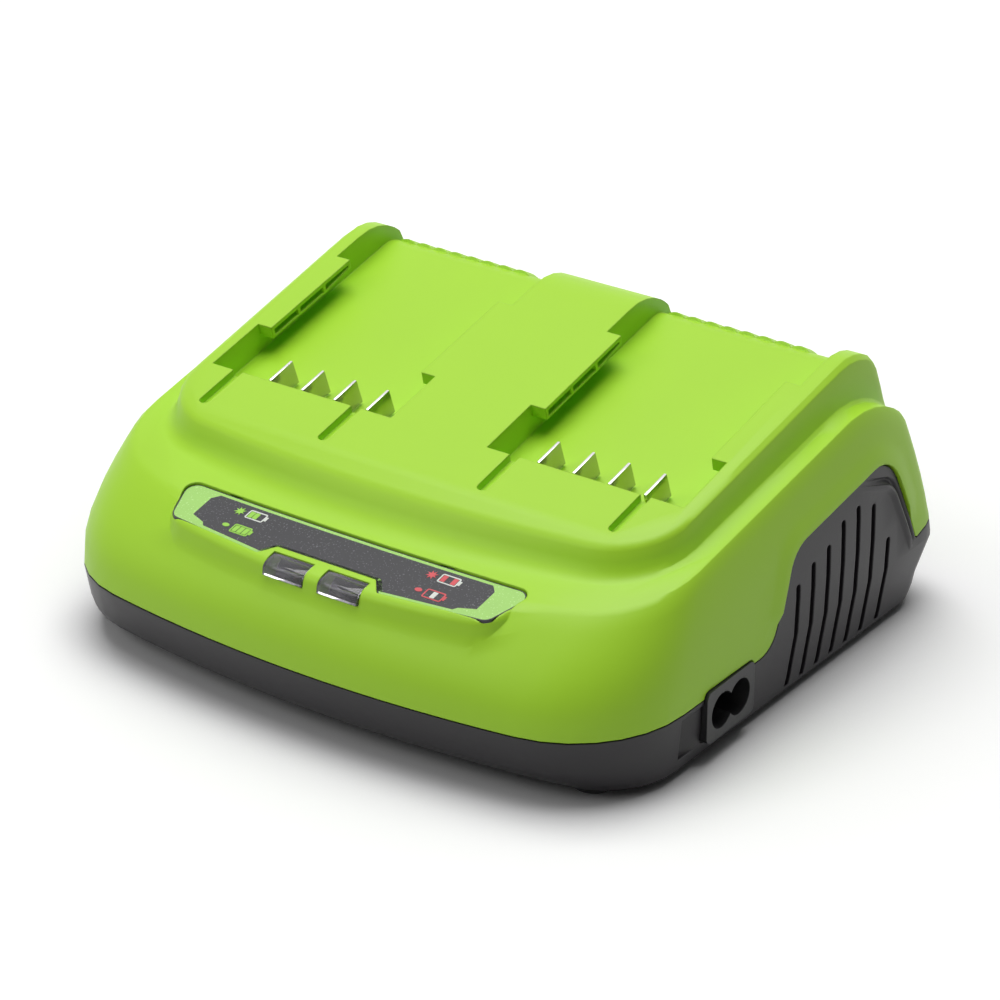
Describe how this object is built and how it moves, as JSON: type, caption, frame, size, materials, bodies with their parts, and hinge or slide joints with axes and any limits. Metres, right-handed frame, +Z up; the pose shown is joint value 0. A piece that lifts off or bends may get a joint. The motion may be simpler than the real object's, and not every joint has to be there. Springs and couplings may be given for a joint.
{
  "type": "power tool battery charger",
  "caption": "Desktop charger with side-by-side slide-in battery bays on a sloping green deck over a dark vented base, with a front indicator pod and a side mains inlet.",
  "frame": {"origin": "middle of the footprint's box, on the plane that the rubber feet stand on", "axes": "+Z up, -Y towards the front with the indicator pod, +X towards the side with the mains inlet"},
  "size_m": [0.18, 0.1576, 0.073],
  "materials": {
    "cover": "fine satin grain, lime green",
    "base": "fine grain, charcoal",
    "panel": "smooth satin overlay",
    "window": "clear moulded light guide",
    "blade": "bright nickel plate",
    "block": "smooth black",
    "inlet": "smooth black",
    "pin": "nickel plated",
    "board": "green solder mask",
    "lamp": "diffused lens",
    "ferrite": "sintered dark grey",
    "winding": "yellow film tape",
    "choke": "enamelled copper wire",
    "capacitor": "black shrink sleeve",
    "heatsink": "plain extruded",
    "fuse": "glazed ceramic",
    "sheet": "fish paper",
    "blue_wire": "soft insulation",
    "red_wire": "soft insulation",
    "screw": "zinc plated",
    "fan": "moulded black",
    "foot": "soft black"
  },
  "bodies": {
    "housing": {"top_cover": "cover", "base_tray": "base", "indicator_panel": "panel", "light_window_left": "window", "light_window_right": "window", "contact_blades_left": "blade", "contact_blades_right": "blade", "terminal_block_left": "block", "terminal_block_right": "block", "mains_inlet": "inlet", "inlet_pins": "pin", "main_board": "board", "indicator_board": "board", "status_lamps": "lamp", "transformer_core": "ferrite", "transformer_winding": "winding", "line_choke": "choke", "bulk_capacitors": "capacitor", "heatsink_left": "heatsink", "heatsink_right": "heatsink", "power_transistors": "block", "fuse": "fuse", "insulation_sheet": "sheet", "mains_leads": "blue_wire", "output_leads_left": "red_wire", "output_leads_right": "red_wire", "board_screws": "screw", "fan_frame": "fan", "fan_screws": "screw", "housing_screws": "screw", "rubber_feet": "foot"},
    "fan": {"fan_rotor": "fan"}
  },
  "joints": [
    {"name": "fan_spin", "type": "hinge", "parent": "housing", "child": "fan", "pos_m": [0.0755, 0.03207, 0.0245], "axis": [1, 0, 0], "continuous": true}
  ]
}
